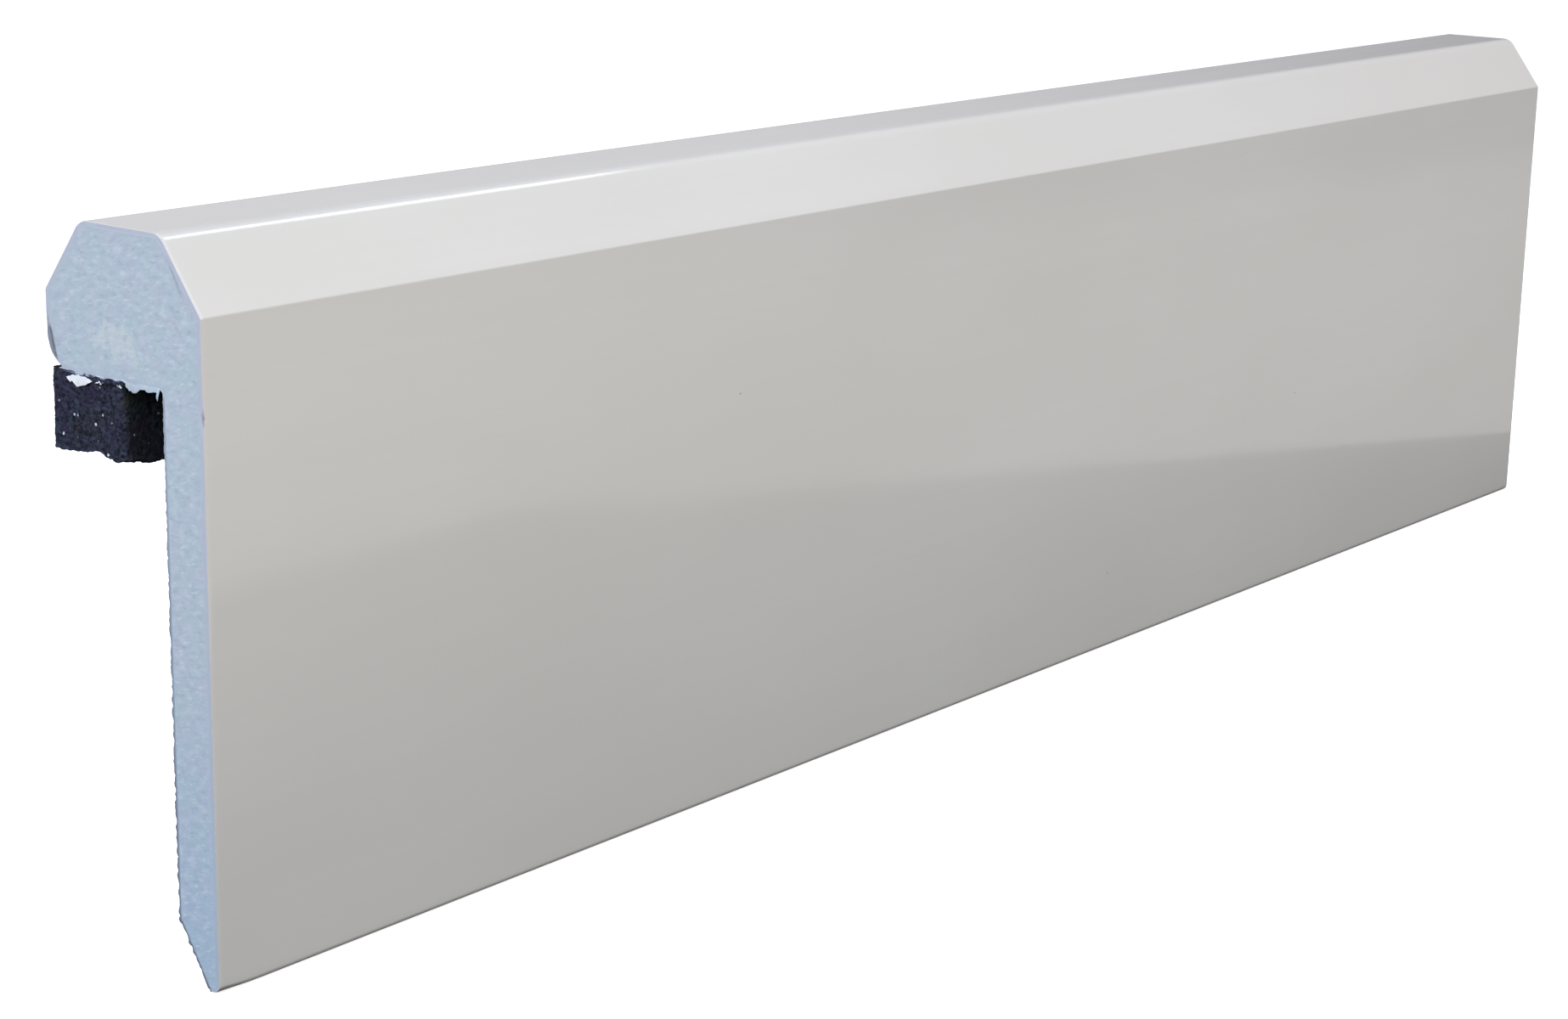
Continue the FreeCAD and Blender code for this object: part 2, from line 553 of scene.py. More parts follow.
def make_rear_skin(material):
    outer, inner = band(rear_run(), REAR_THICKNESS, TEAR_STEP)
    xs = stations(NEAR, FAR, 0.25 * MM, 12 * MM, 30 * MM)
    verts, faces = swept_band(outer, inner, xs)
    tear_rear_edge(verts, outer)
    dark = rear_skin_dark(verts, outer)
    wear_near_end(verts)
    joined, faces, source = join([(verts.reshape(-1, 3), faces)] + underside_fringe())
    # painted shade on the torn flaps, darker the lower they hang
    below = np.clip((UNDERSIDE - joined[:, 2]) / (1.5 * MM), 0, 1) ** 2
    marks = {
        "dark": np.where(source == 0, np.resize(dark.ravel(), len(joined)), 0.35 * below),
        "torn": source > 0,
    }
    new_piece("plain_rear_skin", joined, faces, material, "rear_skin", 32, marks)


def saw_relief(points, seed):
    """Depth of the sawn cellular surface below its true plane."""
    mottle = stretched(points, (1.0, 1.5 * MM, 1.0 * MM), seed, 3)
    cells = cell_walls(points * np.array([0, 1, 1]), 0.7 * MM, seed)
    return MM * (0.03 + 0.02 * mottle + 0.012 * cells)


def make_core(material):
    _, cap_inner = band(cap_run(), CAP_THICKNESS, 0.6 * MM * DETAIL)
    _, rear_inner = band(rear_run(), REAR_THICKNESS, TEAR_STEP)
    loop = np.concatenate([cap_inner, rear_inner])
    xs = stations(NEAR, FAR, 1.0 * MM, 40 * MM, 60 * MM)
    verts, faces, outward = filled_sweep(loop, xs, 0.27 * MM * DETAIL, 5)
    section = verts[:, 1:]
    marks = {
        # painted shade on the head's eased lower back corner, at the near end only
        "dark": shaded_corner(section[:, 0], section[:, 1]) * (verts[:, 0] < NEAR + TINY),
        "skin": np.exp(-distance_to_run(section, cap_inner) / (0.45 * MM)),
    }
    wear_near_end(verts)
    for way, seed in ((-1, 31), (1, 47)):
        face = outward[:, 0] * way > 0.5
        depth = saw_relief(verts[face], seed) * (1 - 0.85 * marks["skin"][face])
        verts[face, 0] -= way * depth
    new_piece("sawn_core", verts, faces, material, "cellular_core", 40, marks)


FOAM_PROUD = 0.2 * MM  # the foam springs out past the sawn end
BITE_PLACE = 9.9 * MM  # a bite in the cut end's lower edge, measured from the foam's back
BITE_DEPTH = 0.65 * MM
HEEL_PLACE = 1.5 * MM  # the lower back corner hangs a little
HEEL_DROP = 0.4 * MM
LIP_PLACE = 13.7 * MM  # and so does a lip next to the bite
LIP_DROP = 0.35 * MM
SAG = 0.9 * MM  # of the side towards the fascia
SAG_START = 4.5 * MM  # how far along the strip the sag is complete
SAG_END = 9.0 * MM
SAG_FADE = 12.0 * MM
BACK_RISE = 0.55 * MM  # the tape pulls the top back corner up
BACK_BULGE = 0.35 * MM
CRUMBS = 9  # along each edge


def foam_surface():
    """The foam strip as a closed mesh, with its cells standing in its surface."""
    low, high = FOAM_LOW, FOAM_HIGH
    middle = (low.y + high.y) / 2
    corners = np.array([
        (middle, high.z), (low.y, high.z), (low.y, low.z),
        (high.y, low.z), (high.y, high.z), (middle, high.z),
    ])
    radii = [0, 0.2 * MM, 0.6 * MM, 0.5 * MM, 0.2 * MM, 0]
    loop = rounded_run(corners, radii, line_counts(corners, 0.4 * MM * DETAIL))[:-1]
    xs = stations(low.x, high.x, 0.36 * MM * DETAIL, 1.3 * MM * DETAIL, 40 * MM)
    verts, faces, outward = filled_sweep(loop, xs, 0.24 * MM * DETAIL, 71)
    large = cell_walls(verts, 1.3 * MM, 3)
    small = cell_walls(verts, 0.6 * MM, 9)
    swell = fractal(verts, 9 * MM, 12, 2)
    hang = np.clip((high.z - verts[:, 2]) / (1.5 * MM), 0.25, 1)
    depth = MM * (0.24 * large + 0.14 * small - 0.16 * swell - 0.10)
    verts -= outward * (depth * hang)[:, None]
    return verts, faces


def shape_foam_end(verts):
    """The near end was cut by hand: a shallow bite in its lower edge, and one side that sags."""
    low, high = FOAM_LOW, FOAM_HIGH
    from_end = verts[:, 0] - NEAR
    inward = np.clip(from_end, 0, None)
    from_back = high.y - verts[:, 1]
    down = np.clip((high.z - verts[:, 2]) / (high.z - low.z), 0, 1.2)
    near = bell(inward, 3.0 * MM)
    bite_width = np.where(from_back < BITE_PLACE, 2.4, 1.0) * MM
    bite = BITE_DEPTH * bell(from_back - BITE_PLACE, bite_width)
    heel = HEEL_DROP * bell(from_back - HEEL_PLACE, 3.2 * MM)
    lip = LIP_DROP * bell(from_back - LIP_PLACE, 0.6 * MM)
    verts[:, 2] += (bite - heel - lip) * down ** 3 * near
    front = np.clip(from_back / (high.y - low.y), 0, 1) ** 3
    past_sag = np.clip(from_end - SAG_END, 0, None)
    along = np.clip(from_end / SAG_START, 0, 1) * bell(past_sag, SAG_FADE)
    verts[:, 2] -= SAG * front * along * down ** 2
    rise = BACK_RISE * np.clip(1 - from_back / (3.2 * MM), 0, 1) * (1 - down) ** 2
    verts[:, 2] += rise * bell(inward, 5.0 * MM)
    verts[:, 0] -= FOAM_PROUD * bell(inward, 2.0 * MM)
    verts[:, 1] += BACK_BULGE * down * near * bell(from_back, 4.0 * MM)
    end = bell(inward, 0.6 * MM)
    for inset, radius in ((from_back, 0.35 * MM), (verts[:, 1] - low.y, 1.4 * MM)):
        lost = np.clip(radius - inset, 0, radius)
        verts[:, 0] += end * (radius - np.sqrt(np.clip(radius ** 2 - lost ** 2, 0, None)))


def foam_crumb(centre, size, seed):
    """A small ragged lump of foam."""
    ball = bmesh.new()
    bmesh.ops.create_icosphere(ball, subdivisions=3, radius=1.0)
    points = np.array([v.co[:] for v in ball.verts])
    faces = [tuple(v.index for v in face.verts) for face in ball.faces]
    ball.free()
    lumps = 0.28 * fractal(points, 1.1, seed) + 0.12 * fractal(points, 0.4, seed + 1)
    return points * (1 + lumps)[:, None] * size + np.array(centre), faces


def foam_crumbs():
    """Loose crumbs along the top of the cut end and round the corner on the open side."""
    rng = np.random.default_rng(29)
    crumbs = []
    for y in np.linspace(FOAM_LOW.y + 0.4 * MM, 14.2 * MM, CRUMBS):
        size = rng.uniform((0.25, 0.50, 0.35), (0.35, 0.75, 0.55)) * MM
        centre = (
            NEAR - FOAM_PROUD - rng.uniform(-0.05, 0.10) * MM,
            y + rng.uniform(-0.4, 0.4) * MM,
            FOAM_HIGH.z - rng.uniform(-0.05, 0.25) * MM,
        )
        crumbs.append(foam_crumb(centre, size, int(y / MM * 7)))
    for x in np.linspace(0.6, 9.0, CRUMBS) * MM:
        size = rng.uniform((0.3, 0.2, 0.25), (0.6, 0.35, 0.5)) * MM
        centre = (
            NEAR + x + rng.uniform(-0.3, 0.3) * MM,
            FOAM_LOW.y + 0.1 * MM,
            FOAM_HIGH.z - rng.uniform(0.2, 0.5) * MM,
        )
        crumbs.append(foam_crumb(centre, size, int(x / MM * 5)))
    return crumbs


def make_foam(material):
    verts, faces = foam_surface()
    shape_foam_end(verts)
    joined, faces, _ = join([(verts, faces)] + foam_crumbs())
    return new_piece("foam_seal", joined, faces, material, "seal_strip", 60)


LARGE_FLAP_DROPS = np.array([0.0, 0.5, 1.0, 0.75, 1.3, 1.6, 1.35, 1.4, 1.2, 0.9, 0.5, 0.1]) * MM
SMALL_FLAP_DROPS = np.array([0.1, 0.4, 0.5, 0.2, 0.1]) * MM
TAPE_GAP = 0.02 * MM  # keeps the tape's faces off its neighbours' faces
TAPE_RAGGED = 0.3 * MM  # how ragged its cut ends are


def tape_flaps():
    """Torn white liner that hangs over the near end of the foam."""
    flaps = (
        (20.3 * MM, 14.9 * MM, LARGE_FLAP_DROPS, 61),
        (13.9 * MM, 12.6 * MM, SMALL_FLAP_DROPS * 0.9, 63),
        (9.0 * MM, 8.3 * MM, SMALL_FLAP_DROPS * 0.6, 67),
    )
    return [
        torn_flap(y_from, y_to, TAPE_LOW.z, 0.45 * MM, drops, FOAM_PROUD + 0.1 * MM, 0.6 * MM, seed)
        for y_from, y_to, drops, seed in flaps
    ]


def make_tape(material):
    low, high = TAPE_LOW, TAPE_HIGH
    bottom, top = low.z + TAPE_GAP, high.z - TAPE_GAP
    corners = np.array([
        (low.y, bottom), (high.y, bottom), (high.y, top), (low.y, top), (low.y, bottom),
    ])
    loop = rounded_run(corners, [0] * 5, line_counts(corners, 0.35 * MM * DETAIL))[:-1]
    xs = stations(low.x, high.x, 0.4 * MM, 6 * MM, 30 * MM)
    verts, faces, _ = filled_sweep(loop, xs, 0.18 * MM, 83)
    ragged = stretched(verts, (3.0, 1.3 * MM, 3.0), 6, 3)
    ends = bell(verts[:, 0] - NEAR, 1.0 * MM) - bell(verts[:, 0] - FAR, 1.0 * MM)
    verts[:, 0] += TAPE_RAGGED * ragged * ends
    joined, faces, source = join([(verts, faces)] + tape_flaps())
    new_piece("seal_tape_strip", joined, faces, material,
              "seal_tape", 40, {"torn": source > 0})


# ---------- materials

class Nodes:
    """A node tree, with short calls for adding and joining nodes."""

    def __init__(self, tree):
        self.tree = tree

    def add(self, kind, inputs=None, **settings):
        node = self.tree.nodes.new("ShaderNode" + kind)
        for key, value in settings.items():
            setattr(node, key, value)
        self.feed(node, inputs or {})
        return node

    def feed(self, node, inputs):
        """Joins or sets a node's inputs, and leaves those that are given as None."""
        for key, value in inputs.items():
            if isinstance(value, bpy.types.NodeSocket):
                self.tree.links.new(value, node.inputs[key])
            elif value is not None:
                node.inputs[key].default_value = value

    def ramp(self, value, low, high, to_low=0.0, to_high=1.0):
        inputs = {"Value": value, "From Min": low, "From Max": high,
                  "To Min": to_low, "To Max": to_high}
        return self.add("MapRange", inputs, interpolation_type="SMOOTHSTEP").outputs[0]

    def math(self, operation, a, b=0.0, c=0.0):
        return self.add("Math", {0: a, 1: b, 2: c}, operation=operation).outputs[0]

    def times(self, a, b):
        return self.math("MULTIPLY", a, b)

    def rest(self, share):
        """What is left of 1."""
        return self.math("SUBTRACT", 1.0, share)

    def vector_math(self, operation, a, b, result="Vector"):
        return self.add("VectorMath", {0: a, 1: b}, operation=operation).outputs[result]


class Shader(Nodes):
    """A material's nodes. Its patterns are fixed to the object, with their sizes in metres."""

    def __init__(self, name):
        self.material = bpy.data.materials.new(name)
        self.material.use_nodes = True
        super().__init__(self.material.node_tree)
        self.surface = self.tree.nodes["Principled BSDF"]
        self.coords = self.add("TexCoord").outputs["Object"]
        _, self.depth, self.height = self.add("SeparateXYZ", {0: self.coords}).outputs

    def stretch(self, along, across):
        """Object coordinates divided by a feature size along the trim, and one across it."""
        scale = (1 / along, 1 / across, 1 / across)
        return self.add("Mapping", {"Vector": self.coords, "Scale": scale}).outputs[0]

    def turn(self, vector, angle):
        """A vector turned about X."""
        inputs = {"Vector": vector, "Angle": angle}
        return self.add("VectorRotate", inputs, rotation_type="X_AXIS").outputs[0]

    def noise_at(self, place, detail, roughness, **settings):
        inputs = {"Vector": place, "Scale": 1.0, "Detail": detail, "Roughness": roughness}
        return self.add("TexNoise", inputs, **settings).outputs["Fac"]

    def noise(self, along, across, detail=3.0, roughness=0.55):
        return self.noise_at(self.stretch(along, across), detail, roughness)

    def grain(self, size, detail=3.0, roughness=0.55):
        return self.noise(size, size, detail, roughness)

    def saw_noise(self, length, width, detail=2.0, roughness=0.5):
        """Noise over the sawn ends, drawn out along the path of the saw."""
        turned = self.turn(self.coords, SAW_TILT)
        parts = self.add("SeparateXYZ", {0: turned}).outputs
        along = self.math("MULTIPLY_ADD", parts["X"], 3.0, parts["Y"])
        place = self.add("CombineXYZ", {0: self.math("DIVIDE", along, length),
                                                  1: self.math("DIVIDE", parts["Z"], width)})
        return self.noise_at(place.outputs[0], detail, roughness, noise_dimensions="2D")

    def cells(self, size):
        """Distance from the middle of a cell, and a random colour for each cell."""
        inputs = {"Vector": self.stretch(size, size), "Scale": 1.0}
        outputs = self.add("TexVoronoi", inputs, feature="F1").outputs
        return outputs["Distance"], outputs["Color"]

    def chosen(self, random_colour, channel, low, high):
        """1 in the few cells whose random colour is past low to high in one channel."""
        parts = self.add("SeparateColor", {0: random_colour}).outputs
        return self.ramp(parts[channel], low, high)

    def mix(self, factor, a, b, blend="MIX"):
        inputs = {0: factor, 6: a, 7: b}
        return self.add("Mix", inputs, data_type="RGBA", blend_type=blend).outputs[2]

    def tint(self, factor, colour, by):
        """Multiplies a colour, as far as factor says."""
        return self.mix(factor, colour, by, "MULTIPLY")

    def paint(self, colour, mask, strength, paint):
        """The colour with paint over it where the mask says."""
        return self.mix(self.times(mask, strength), colour, paint)

    def mark(self, name):
        """A number stored on the vertices."""
        return self.add("Attribute", attribute_name=name).outputs["Fac"]

    def spot(self, centre, sizes, turn=0.0, ragged=0.3, grain=0.5 * MM):
        """1 at a place, fading to 0 at its sizes, with a ragged outline; turned about X."""
        away = self.vector_math("SUBTRACT", self.coords, centre)
        scaled = self.vector_math("DIVIDE", self.turn(away, turn), sizes)
        reach = self.vector_math("LENGTH", scaled, (0, 0, 0), "Value")
        rough = self.ramp(self.grain(grain), 0.3, 0.7, -ragged, ragged)
        return self.ramp(self.math("ADD", reach, rough), 0.35, 1.0, 1.0, 0.0)

    def end_mask(self):
        """1 on the sawn ends, which face along X, and 0 on the long faces."""
        normal = self.add("NewGeometry").outputs["True Normal"]
        x = self.add("SeparateXYZ", {0: normal}).outputs["X"]
        return self.ramp(self.math("ABSOLUTE", x), 0.35, 0.6)

    def bump(self, height, distance, strength=1.0, normal=None):
        inputs = {"Height": height, "Distance": distance, "Strength": strength, "Normal": normal}
        return self.add("Bump", inputs).outputs[0]

    def finish(self, colour, roughness, normal=None, ior=1.5):
        self.feed(self.surface, {"Base Color": colour, "Roughness": roughness, "IOR": ior,
                                 "Normal": normal})
        return self.material


def rgb(red, green, blue):
    return (red, green, blue, 1.0)


def grey(level):
    return rgb(level, level, level)


# painted shade, for the eased corner of the head and the shaded torn edge of the rear skin
PAINTED_SHADE = rgb(0.105, 0.115, 0.15)
LILAC = rgb(0.57, 0.58, 0.71)
LOWER_SHADE_TINT = rgb(0.86, 0.95, 1.03)  # painted shade: the sawn faces are made darker and bluer towards the bottom edge
SAW_TILT = math.radians(14)

# Small marks, each with its middle and size: the first on the top face, the rest on the near end
FLECK = (NEAR + 315.7 * MM, FRONT + 11.6 * MM, TOP)
FLECK_SIZE = (1.1 * MM, 0.8 * MM, 1.0 * MM)
SMUDGE = (NEAR, 9.5 * MM, UNDERSIDE + 5.6 * MM)
SMUDGE_SIZE = (2.0 * MM, 6.0 * MM, 2.3 * MM)
SCRATCH = (NEAR, FRONT + 5.1 * MM, CREASE + 4.9 * MM)
SCRATCH_SIZE = (2.0 * MM, 0.42 * MM, 4.2 * MM)
# a pit that is only painted: painted shade of a small hollow
SHADED_PIT = (NEAR, FRONT + 1.8 * MM, CREASE - 9.0 * MM)
SHADED_PIT_SIZE = (2.0 * MM, 0.25 * MM, 0.25 * MM)


def sawn_core_colour(s):
    """The pale blue-grey of the sawn core, in soft lilac and grey-green patches, with painted shade
    towards the bottom edge.
    """
    patch = s.grain(4 * MM)
    colour = s.mix(s.ramp(patch, 0.36, 0.62), rgb(0.53, 0.59, 0.705), rgb(0.50, 0.61, 0.69))
    # painted shade towards the bottom edge
    return s.tint(s.ramp(s.height, BOTTOM, BOTTOM + 50 * MM, 1.0, 0.0), colour, LOWER_SHADE_TINT)


def core_edge_colour(s):
    """The core next to the cap, where it turns lilac."""
    return s.mix(0.4, sawn_core_colour(s), LILAC)


def sawn_cap_colour(s):
    """The cap's sawn edge: lilac on the head, greyer low down, like the core along its inside."""
    outside = s.mix(s.grain(2.5 * MM), LILAC, rgb(0.63, 0.62, 0.70))
    low = s.ramp(s.height, BOTTOM + 10 * MM, CREASE - 20 * MM, 1.0, 0.0)
    outside = s.mix(low, outside, rgb(0.50, 0.56, 0.61))
    return s.paint(core_edge_colour(s), s.mark("rim"), 0.7, outside)


def cap_material():
    """Smooth glossy PVC: faint die lines along its length, a few specks, a duller sawn end, and
    painted shade in the nick and on the head's eased lower back corner.
    """
    s = Shader("glossy_pvc")
    cloud = s.noise(90 * MM, 40 * MM, 2.0)
    colour = s.mix(s.ramp(cloud, 0.3, 0.7), rgb(0.68, 0.655, 0.615), rgb(0.705, 0.682, 0.645))
    lines = s.noise(220 * MM, 1.3 * MM, 3.0)
    colour = s.mix(s.ramp(lines, 0.35, 0.65, 0.0, 0.12), colour, rgb(0.655, 0.632, 0.597))
    distance, random_colour = s.cells(9 * MM)
    speck = s.times(s.ramp(distance, 0.012, 0.030, 1.0, 0.0),
                    s.chosen(random_colour, "Red", 0.80, 0.82))
    colour = s.paint(colour, speck, 0.6, rgb(0.20, 0.19, 0.19))
    end = s.end_mask()
    colour = s.mix(end, colour, sawn_cap_colour(s))
    # painted shade on the head's eased lower back corner
    colour = s.mix(s.mark("dark"), colour, PAINTED_SHADE)
    colour = s.paint(colour, s.spot(FLECK, FLECK_SIZE), 0.8, grey(0.90))
    # painted shade in the dent of the nick
    nick = s.spot(NICK, NICK_SIZE, ragged=0.15)
    colour = s.paint(colour, nick, 0.8, rgb(0.20, 0.17, 0.25))
    rough = s.ramp(s.noise(60 * MM, 6 * MM, 4.0), 0.3, 0.7, 0.075, 0.105)
    rough = s.math("ADD", rough, s.times(end, 0.45))
    normal = s.bump(lines, 0.0015 * MM, 0.5)
    normal = s.bump(s.noise(3 * MM, 1.2 * MM, 2.0), 0.001 * MM, 0.4, normal)
    return s.finish(colour, rough, normal, 1.52)


def rear_material():
    """Plain dense skin with faint drag lines; paler and rough where it is sawn or torn, with
    painted shade low on the sawn end, along the torn edge and on the head's eased corner.
    """
    s = Shader("plain_pvc_skin")
    cloud = s.noise(50 * MM, 15 * MM, 3.0)
    colour = s.mix(s.ramp(cloud, 0.3, 0.7), rgb(0.56, 0.60, 0.66), rgb(0.62, 0.655, 0.70))
    lines = s.noise(160 * MM, 0.9 * MM, 4.0)
    colour = s.mix(s.ramp(lines, 0.4, 0.7, 0.0, 0.4), colour, rgb(0.53, 0.57, 0.63))
    end = s.end_mask()
    sawn = s.mix(s.ramp(s.grain(2.2 * MM, 2.0), 0.4, 0.6),
                 rgb(0.50, 0.55, 0.68), rgb(0.50, 0.59, 0.69))
    # painted shade, darker and bluer towards the bottom
    sawn = s.tint(s.ramp(s.height, BOTTOM, CREASE, 1.0, 0.0), sawn, LOWER_SHADE_TINT)
    colour = s.mix(end, colour, sawn)
    pale = s.mix(s.ramp(s.grain(0.9 * MM), 0.4, 0.6),
                 rgb(0.48, 0.57, 0.66), rgb(0.54, 0.61, 0.69))
    colour = s.mix(s.mark("torn"), colour, pale)
    # painted shade: the head's eased corner, the torn edge and the lower parts of the torn flaps
    colour = s.mix(s.mark("dark"), colour, PAINTED_SHADE)
    rough = s.math("ADD", s.ramp(cloud, 0.3, 0.7, 0.38, 0.5), s.times(end, 0.25))
    normal = s.bump(lines, 0.012 * MM, 0.7)
    normal = s.bump(s.grain(0.8 * MM), 0.008 * MM, 0.6, normal)
    return s.finish(colour, rough, normal)


def core_material():
    """Sawn cellular PVC: pale blue-grey, with mottling, short fibres and marks from handling, and
    painted shade towards the bottom, in a pit and on the head's eased lower back corner.
    """
    s = Shader("cellular_pvc")
    colour = sawn_core_colour(s)
    mottle = s.saw_noise(1.9 * MM, 1.2 * MM, 3.0, 0.55)
    colour = s.mix(s.ramp(mottle, 0.50, 0.78, 0.0, 0.60), colour, rgb(0.63, 0.70, 0.78))
    colour = s.mix(s.ramp(mottle, 0.48, 0.22, 0.0, 0.55), colour, rgb(0.41, 0.495, 0.61))
    fibre = s.saw_noise(1.7 * MM, 0.5 * MM, 1.0)
    colour = s.mix(s.ramp(fibre, 0.61, 0.80, 0.0, 0.50), colour, rgb(0.72, 0.77, 0.83))
    colour = s.mix(s.ramp(fibre, 0.34, 0.18, 0.0, 0.42), colour, rgb(0.36, 0.44, 0.54))
    colour = s.paint(colour, s.mark("skin"), 0.9, core_edge_colour(s))
    smudge = s.spot(SMUDGE, SMUDGE_SIZE, turn=-0.2, ragged=0.7, grain=1.5 * MM)
    colour = s.paint(colour, smudge, 0.42, rgb(0.72, 0.76, 0.76))
    scratch = s.spot(SCRATCH, SCRATCH_SIZE, turn=0.51, ragged=0.25)
    colour = s.paint(colour, scratch, 0.38, rgb(0.28, 0.29, 0.40))
    # painted shade of a small pit
    colour = s.paint(colour, s.spot(SHADED_PIT, SHADED_PIT_SIZE), 0.5, rgb(0.22, 0.25, 0.33))
    # painted shade on the head's eased lower back corner
    colour = s.mix(s.mark("dark"), colour, PAINTED_SHADE)
    normal = s.bump(s.grain(0.5 * MM, 2.0), 0.03 * MM, 0.4)
    normal = s.bump(mottle, 0.12 * MM, 0.5, normal)
    return s.finish(colour, 0.80, normal)


def foam_material():
    """Dark open-cell foam: cell walls catch the light, and a few cell faces glint."""
    s = Shader("open_cell_foam")
    cloud = s.grain(0.9 * MM, 4.0, 0.7)
    colour = s.mix(s.ramp(cloud, 0.36, 0.64), rgb(0.01, 0.011, 0.019), rgb(0.036, 0.043, 0.074))
    cells, _ = s.cells(0.55 * MM)
    # painted light on the cell walls and painted shade in the cells' hollows
    wall = s.ramp(s.math("ADD", cells, s.ramp(cloud, 0.3, 0.7, -0.2, 0.2)), 0.35, 0.80)
    colour = s.paint(colour, wall, 0.6, rgb(0.055, 0.063, 0.10))
    colour = s.mix(s.ramp(cells, 0.25, 0.05, 0.0, 0.6), colour, rgb(0.005, 0.005, 0.009))
    tinge = s.grain(5 * MM, 2.0)
    colour = s.mix(s.ramp(tinge, 0.52, 0.68, 0.0, 0.7), colour, rgb(0.034, 0.026, 0.06))
    colour = s.mix(s.ramp(tinge, 0.46, 0.32, 0.0, 0.7), colour, rgb(0.036, 0.033, 0.034))
    colour = s.tint(s.rest(s.end_mask()), colour, rgb(0.68, 0.74, 0.52))
    distance, random_colour = s.cells(0.8 * MM)
    reach = s.math("ADD", distance, s.ramp(cloud, 0.35, 0.65, -0.08, 0.08))
    glint = s.times(s.ramp(reach, 0.18, 0.32, 1.0, 0.0),
                    s.chosen(random_colour, "Blue", 0.94, 0.95))
    colour = s.mix(glint, colour, rgb(0.62, 0.70, 0.76))
    s.feed(s.surface, {"Specular IOR Level": s.math("ADD", 0.12, s.times(glint, 0.6))})
    normal = s.bump(cells, 0.16 * MM, 0.9)
    normal = s.bump(cloud, 0.2 * MM, 0.9, normal)
    return s.finish(colour, 0.75, normal)


def tape_material():
    """White tape film with a soft fibrous surface, its cut edge stained by the adhesive."""
    s = Shader("white_tape")
    fibre = s.noise(0.6 * MM, 0.25 * MM, 4.0)
    colour = s.mix(s.ramp(fibre, 0.35, 0.65), rgb(0.72, 0.74, 0.80), rgb(0.82, 0.85, 0.86))
    stained = s.times(s.end_mask(), s.rest(s.mark("torn")))
    dirt = s.ramp(s.grain(1.2 * MM, 2.0), 0.48, 0.60)
    dirt = s.math("MAXIMUM", dirt, s.ramp(s.depth, 18 * MM, 21 * MM))
    stain = s.mix(dirt, rgb(0.44, 0.50, 0.64), rgb(0.07, 0.07, 0.13))
    colour = s.mix(stained, colour, stain)
    normal = s.bump(fibre, 0.03 * MM, 0.8)
    return s.finish(colour, 0.6, normal)


# ---------- stage

CAMERA_LENS = 70.05
CAMERA_SENSOR = 36.0
CAMERA_FROM_CORNER = Vector((-0.26992, -0.31739, 0.17821))  # from the near, front, bottom corner
CAMERA_HEADING = math.radians(51.45)  # from +Y towards +X
CAMERA_PITCH = math.radians(-14.30)
CAMERA_ROLL = math.radians(1.09)
FLOOR_SIZE = 12.0
FLOOR_GLOW = 0.62  # keeps the floor white around the object
MAT_GAP = 0.5 * MM  # between the floor and the mat under it
SOFTBOXES = (  # name, azimuth, elevation, distance, size, power in watts, colour
    ("front_high", -95, 58, 0.9, (0.9, 0.7), 1.78, (0.65, 0.79, 1.0)),
    ("front_mid", -95, 28, 0.9, (0.9, 0.6), 3.10, (0.92, 1.0, 1.0)),
    ("left", 185, 30, 1.0, (0.7, 0.7), 4.42, (1.0, 0.99, 0.92)),
    ("ridge", -3, 56, 1.0, (0.28, 0.24), 0.85, (1.0, 1.0, 0.94)),
)


def make_camera():
    data = bpy.data.cameras.new("camera")
    data.lens = CAMERA_LENS
    data.sensor_width = CAMERA_SENSOR
    data.clip_start = 0.01
    data.clip_end = 50.0
    camera = new_object("camera", data)
    turn = Matrix.Rotation(-CAMERA_HEADING, 4, "Z")
    tilt = Matrix.Rotation(math.pi / 2 + CAMERA_PITCH, 4, "X")
    roll = Matrix.Rotation(CAMERA_ROLL, 4, "Z")
    place = Matrix.Translation(TRIM_LOW + CAMERA_FROM_CORNER)
    camera.matrix_world = place @ turn @ tilt @ roll
    bpy.context.scene.camera = camera


def toward(azimuth, elevation):
    """Unit vector in a compass direction: azimuth 0 is +X, 90 is +Y."""
    a, e = math.radians(azimuth), math.radians(elevation)
    return Vector((math.cos(a) * math.cos(e), math.sin(a) * math.cos(e), math.sin(e)))


def softbox(name, azimuth, elevation, distance, size, power, colour):
    """An area light aimed at the middle of the object."""
    data = bpy.data.lights.new(name, "AREA")
    data.shape = "RECTANGLE"
    data.size, data.size_y = size
    data.energy = power
    data.color = colour
    light = new_object(name, data)
    away = toward(azimuth, elevation)
    light.location = (TRIM_LOW + TRIM_HIGH) / 2 + away * distance
    light.rotation_euler = away.to_track_quat("Z", "Y").to_euler()
    light.visible_camera = False


